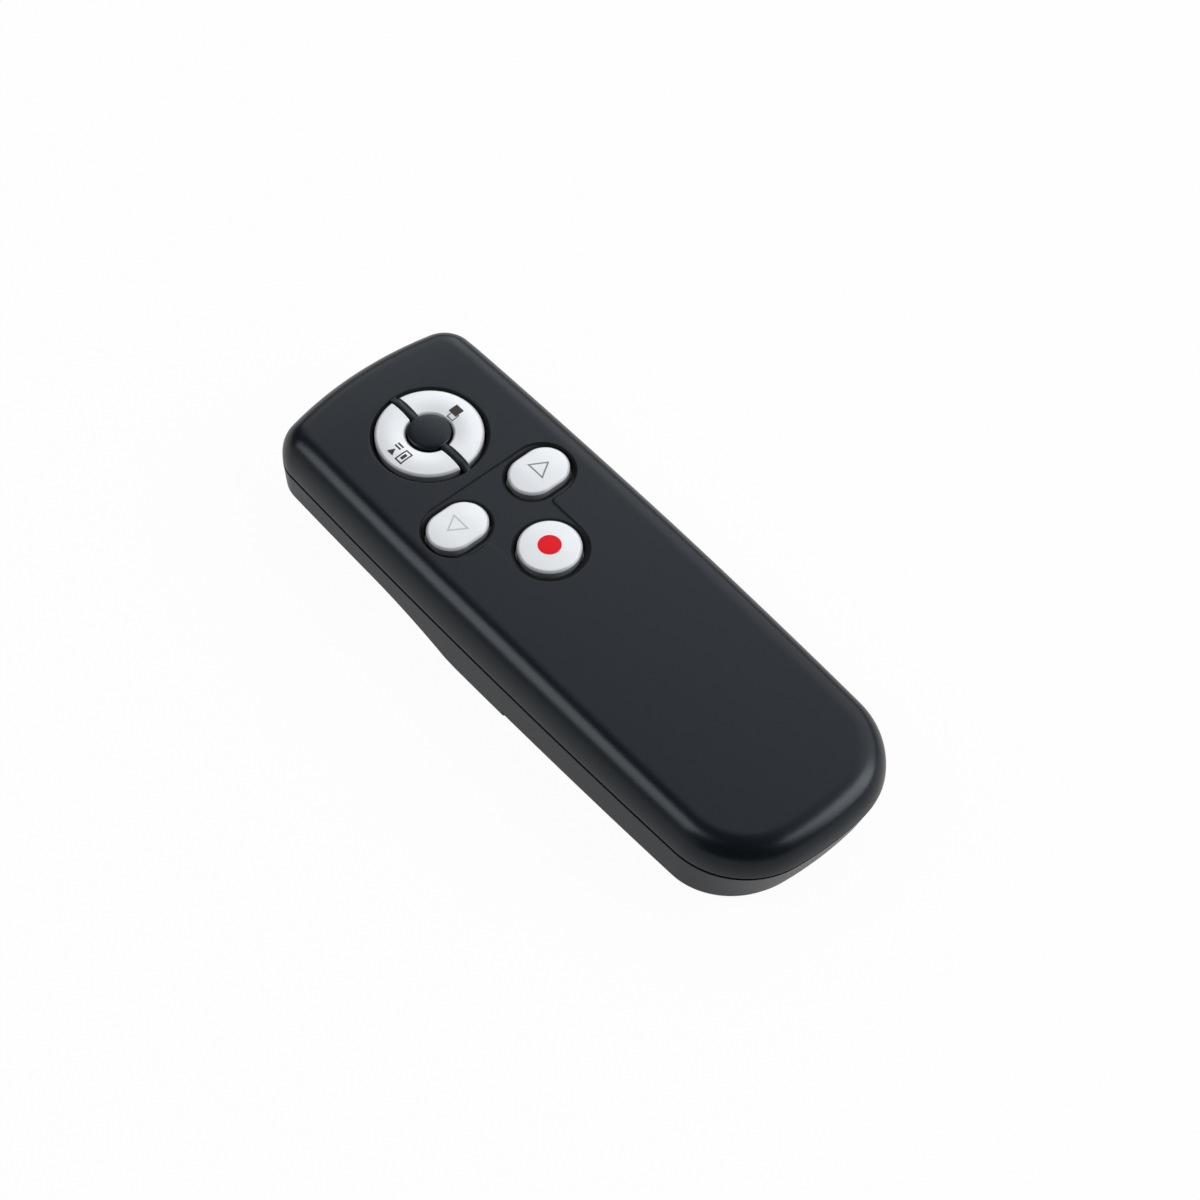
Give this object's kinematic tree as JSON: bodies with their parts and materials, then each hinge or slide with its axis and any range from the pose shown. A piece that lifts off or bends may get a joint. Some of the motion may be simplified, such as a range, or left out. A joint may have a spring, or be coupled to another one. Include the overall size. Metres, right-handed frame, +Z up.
{
  "type": "wireless presentation clicker",
  "caption": "Hand-held wireless presentation clicker: charcoal two-shell case, ring, pill and round keys on tact switches, a laser in its nose and AAA cells behind a sliding door.",
  "frame": {"origin": "centre of the case's outline, on the face it rests on", "axes": "+Y to the laser end, +X to the right with the keys on top, +Z up"},
  "size_m": [0.0382, 0.1119, 0.0169],
  "materials": {
    "case_plastic": "satin charcoal",
    "key_plastic": "pale silver-white, semi-gloss",
    "switch_plastic": "matt black",
    "knob_plastic": "satin black",
    "board": "green solder mask",
    "chip": "matt black epoxy",
    "can_metal": "plated can",
    "ceramic": "fired ceramic",
    "screw_steel": "zinc plated",
    "brass": "turned brass",
    "lens": "clear",
    "window": "clear dark red",
    "cell_wrap": "printed sleeve",
    "spring_steel": "nickel plated"
  },
  "bodies": {
    "housing": {"top_cover": "case_plastic", "bottom_cover": "case_plastic", "switch_bodies": "switch_plastic", "circuit_board": "board", "microcontroller": "chip", "radio_chip": "chip", "crystal": "can_metal", "capacitors": "ceramic", "board_screws": "screw_steel", "case_screws": "screw_steel", "laser_barrel": "brass", "laser_lens": "lens", "laser_diode": "can_metal", "laser_window": "window", "power_switch_body": "switch_plastic", "battery_left": "cell_wrap", "battery_right": "cell_wrap", "link_contact": "spring_steel", "link_spring": "spring_steel", "positive_contact": "spring_steel", "negative_contact": "spring_steel", "negative_spring": "spring_steel"},
    "slideshow_button": {"slideshow_key": "key_plastic", "slideshow_plunger": "switch_plastic"},
    "blank_screen_button": {"blank_screen_key": "key_plastic", "blank_screen_plunger": "switch_plastic"},
    "previous_button": {"previous_key": "key_plastic", "previous_plunger": "switch_plastic"},
    "next_button": {"next_key": "key_plastic", "next_plunger": "switch_plastic"},
    "laser_button": {"laser_key": "key_plastic", "laser_plunger": "switch_plastic"},
    "battery_door": {"battery_door": "case_plastic"},
    "power_knob": {"power_knob": "knob_plastic"}
  },
  "joints": [
    {"name": "slideshow_press", "type": "slide", "parent": "housing", "child": "slideshow_button", "axis": [0, 0, -1], "range_m": [0, 0.0004], "stiffness_N_per_m": 2500, "springref_m": -0.0004},
    {"name": "blank_screen_press", "type": "slide", "parent": "housing", "child": "blank_screen_button", "axis": [0, 0, -1], "range_m": [0, 0.0004], "stiffness_N_per_m": 2500, "springref_m": -0.0004},
    {"name": "previous_press", "type": "slide", "parent": "housing", "child": "previous_button", "axis": [0, 0, -1], "range_m": [0, 0.0004], "stiffness_N_per_m": 2500, "springref_m": -0.0004},
    {"name": "next_press", "type": "slide", "parent": "housing", "child": "next_button", "axis": [0, 0, -1], "range_m": [0, 0.0004], "stiffness_N_per_m": 2500, "springref_m": -0.0004},
    {"name": "laser_press", "type": "slide", "parent": "housing", "child": "laser_button", "axis": [0, 0, -1], "range_m": [0, 0.0004], "stiffness_N_per_m": 2500, "springref_m": -0.0004},
    {"name": "battery_door_slide", "type": "slide", "parent": "housing", "child": "battery_door", "axis": [0, -1, 0], "range_m": [0, 0.006]},
    {"name": "power_knob_slide", "type": "slide", "parent": "housing", "child": "power_knob", "axis": [0, 1, 0], "range_m": [0, 0.0025]}
  ]
}
